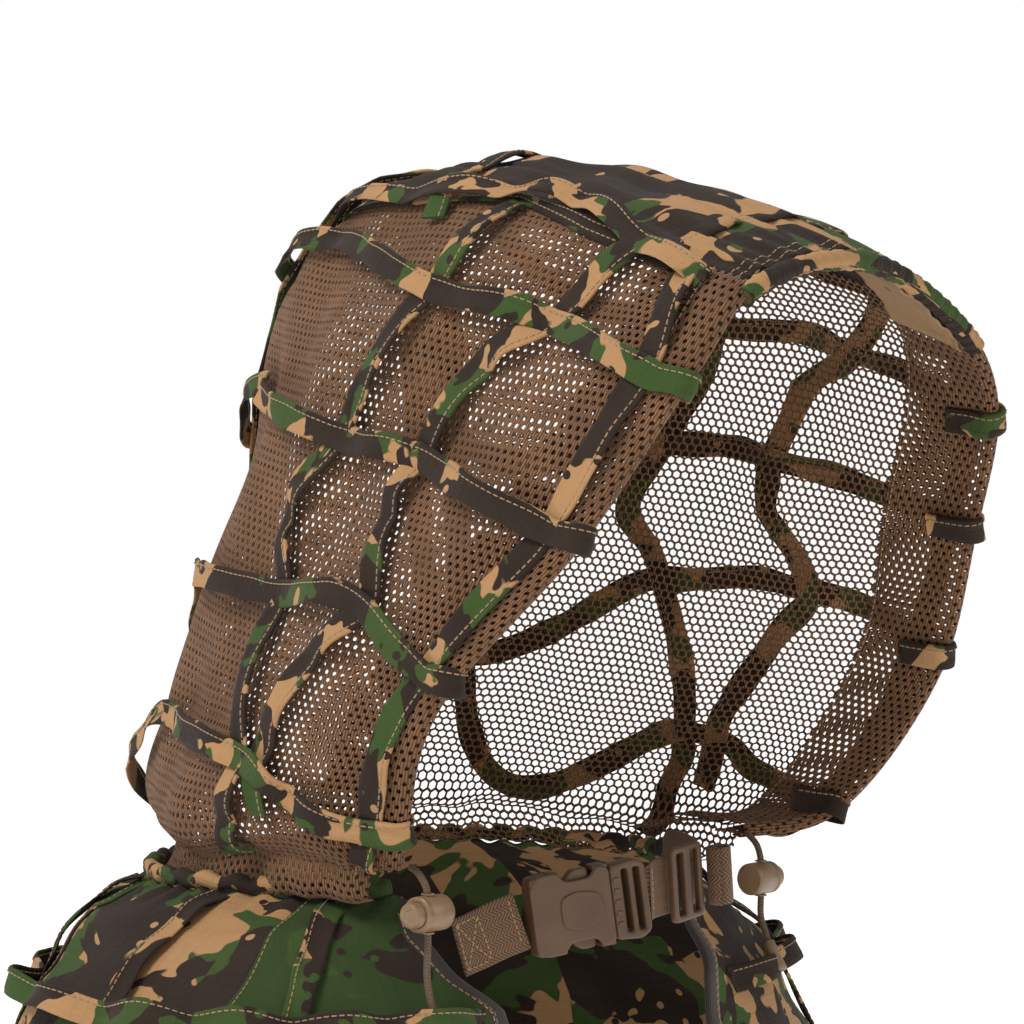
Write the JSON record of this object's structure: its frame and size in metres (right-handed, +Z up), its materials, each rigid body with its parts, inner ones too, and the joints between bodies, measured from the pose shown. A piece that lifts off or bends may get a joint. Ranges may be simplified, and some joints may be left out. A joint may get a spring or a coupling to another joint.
{
  "type": "ghillie hood with shoulder cape",
  "caption": "Knitted-net hood with stiffened brim on a camouflage shoulder cape, with garnish tapes, neck strap buckle and drawcords.",
  "frame": {"origin": "middle of the neck at collar height, where the garment sits on the wearer", "axes": "+Z up, -Y the way the wearer faces, +X the wearer's left"},
  "size_m": [0.5014, 0.3884, 0.5553],
  "materials": {
    "net_knit": "knitted matt",
    "tape_camouflage": "printed woven matt",
    "ripstop_camouflage": "printed rip-stop weave, matt",
    "ripstop_inside": "unprinted rip-stop, faded",
    "binding_dark": "folded woven binding",
    "elastic_cord": "braided sheath",
    "webbing": "woven webbing, slight sheen",
    "buckle_plastic": "moulded, fine texture",
    "lock_plastic": "moulded, slightly glossy",
    "spring_steel": "drawn wire"
  },
  "bodies": {
    "garment": {"hood_net_right": "net_knit", "face_hem_right": "net_knit", "edge_tape_right": "tape_camouflage", "front_rib_tape_right": "tape_camouflage", "rear_rib_tape_right": "tape_camouflage", "crown_tape_right": "tape_camouflage", "front_drop_tape_right": "tape_camouflage", "shoulder_drop_tape_right": "tape_camouflage", "rear_drop_tape_right": "tape_camouflage", "front_panel_right": "ripstop_camouflage", "shoulder_panel_right": "ripstop_camouflage", "front_binding_right": "binding_dark", "hem_cord_right": "elastic_cord", "drawcord_right": "elastic_cord", "cord_end_right": "lock_plastic", "hood_net_left": "net_knit", "face_hem_left": "net_knit", "edge_tape_left": "tape_camouflage", "front_rib_tape_left": "tape_camouflage", "rear_rib_tape_left": "tape_camouflage", "crown_tape_left": "tape_camouflage", "front_drop_tape_left": "tape_camouflage", "shoulder_drop_tape_left": "tape_camouflage", "rear_drop_tape_left": "tape_camouflage", "front_panel_left": "ripstop_camouflage", "shoulder_panel_left": "ripstop_camouflage", "front_binding_left": "binding_dark", "hem_cord_left": "elastic_cord", "drawcord_left": "elastic_cord", "cord_end_left": "lock_plastic", "crown_panel": "ripstop_camouflage", "brim_top": "ripstop_camouflage", "brim_casing": "ripstop_camouflage", "back_panel": "ripstop_camouflage", "brim_underside": "ripstop_inside", "brim_wire": "spring_steel", "ring_tape_1": "tape_camouflage", "ring_tape_2": "tape_camouflage", "ring_tape_3": "tape_camouflage", "ring_tape_4": "tape_camouflage", "cape_ring_tape_1": "tape_camouflage", "cape_ring_tape_2": "tape_camouflage", "crown_cross_tape": "tape_camouflage", "neckline_piping": "tape_camouflage", "back_seam_tape": "net_knit", "lower_hem": "binding_dark", "buckle_female": "buckle_plastic", "neck_tab_right": "webbing", "neck_strap_left": "webbing"},
    "buckle_slider": {"buckle_male": "buckle_plastic"},
    "latch_upper": {"latch_arm_upper": "buckle_plastic"},
    "latch_lower": {"latch_arm_lower": "buckle_plastic"},
    "strap_glide": {"tri_glide": "buckle_plastic", "neck_strap_roll": "webbing"},
    "lock_right": {"cord_lock_barrel_right": "lock_plastic", "cord_lock_spring_right": "spring_steel"},
    "lock_left": {"cord_lock_barrel_left": "lock_plastic", "cord_lock_spring_left": "spring_steel"},
    "button_right": {"cord_lock_button_right": "lock_plastic"},
    "button_left": {"cord_lock_button_left": "lock_plastic"}
  },
  "joints": [
    {"name": "buckle_release", "type": "slide", "parent": "garment", "child": "buckle_slider", "axis": [0.8744, -0.4649, 0.1392], "range_m": [0, 0.03], "deforming": ["neck_strap_left", "latch_arm_upper", "latch_arm_lower"]},
    {"name": "latch_upper_flex", "type": "hinge", "parent": "buckle_slider", "child": "latch_upper", "pos_m": [-0.03531, -0.10638, 0.01282], "axis": [0.4695, 0.8829, 0], "range_deg": [-7, 0], "stiffness_Nm_per_rad": 0.2},
    {"name": "latch_lower_flex", "type": "hinge", "parent": "buckle_slider", "child": "latch_lower", "pos_m": [-0.03249, -0.10788, -0.00996], "axis": [0.4695, 0.8829, 0], "range_deg": [0, 7], "stiffness_Nm_per_rad": 0.2},
    {"name": "tri_glide_slide", "type": "slide", "parent": "buckle_slider", "child": "strap_glide", "axis": [0.9939, 0.0347, 0.1045], "range_m": [-0.003, 0.008], "deforming": ["neck_strap_left"]},
    {"name": "cord_lock_slide_right", "type": "slide", "parent": "garment", "child": "lock_right", "axis": [0, 0, -1], "range_m": [0, 0.013]},
    {"name": "cord_lock_slide_left", "type": "slide", "parent": "garment", "child": "lock_left", "axis": [0, 0, -1], "range_m": [0, 0.005]},
    {"name": "cord_lock_press_right", "type": "slide", "parent": "lock_right", "child": "button_right", "axis": [1, 0, 0], "range_m": [0, 0.004], "stiffness_N_per_m": 150, "deforming": ["cord_lock_spring_right"]},
    {"name": "cord_lock_press_left", "type": "slide", "parent": "lock_left", "child": "button_left", "axis": [-1, 0, 0], "range_m": [0, 0.004], "stiffness_N_per_m": 150, "deforming": ["cord_lock_spring_left"]}
  ],
  "couplings": [
    {"joint": "latch_lower_flex", "follows": "latch_upper_flex", "ratio": -1}
  ]
}
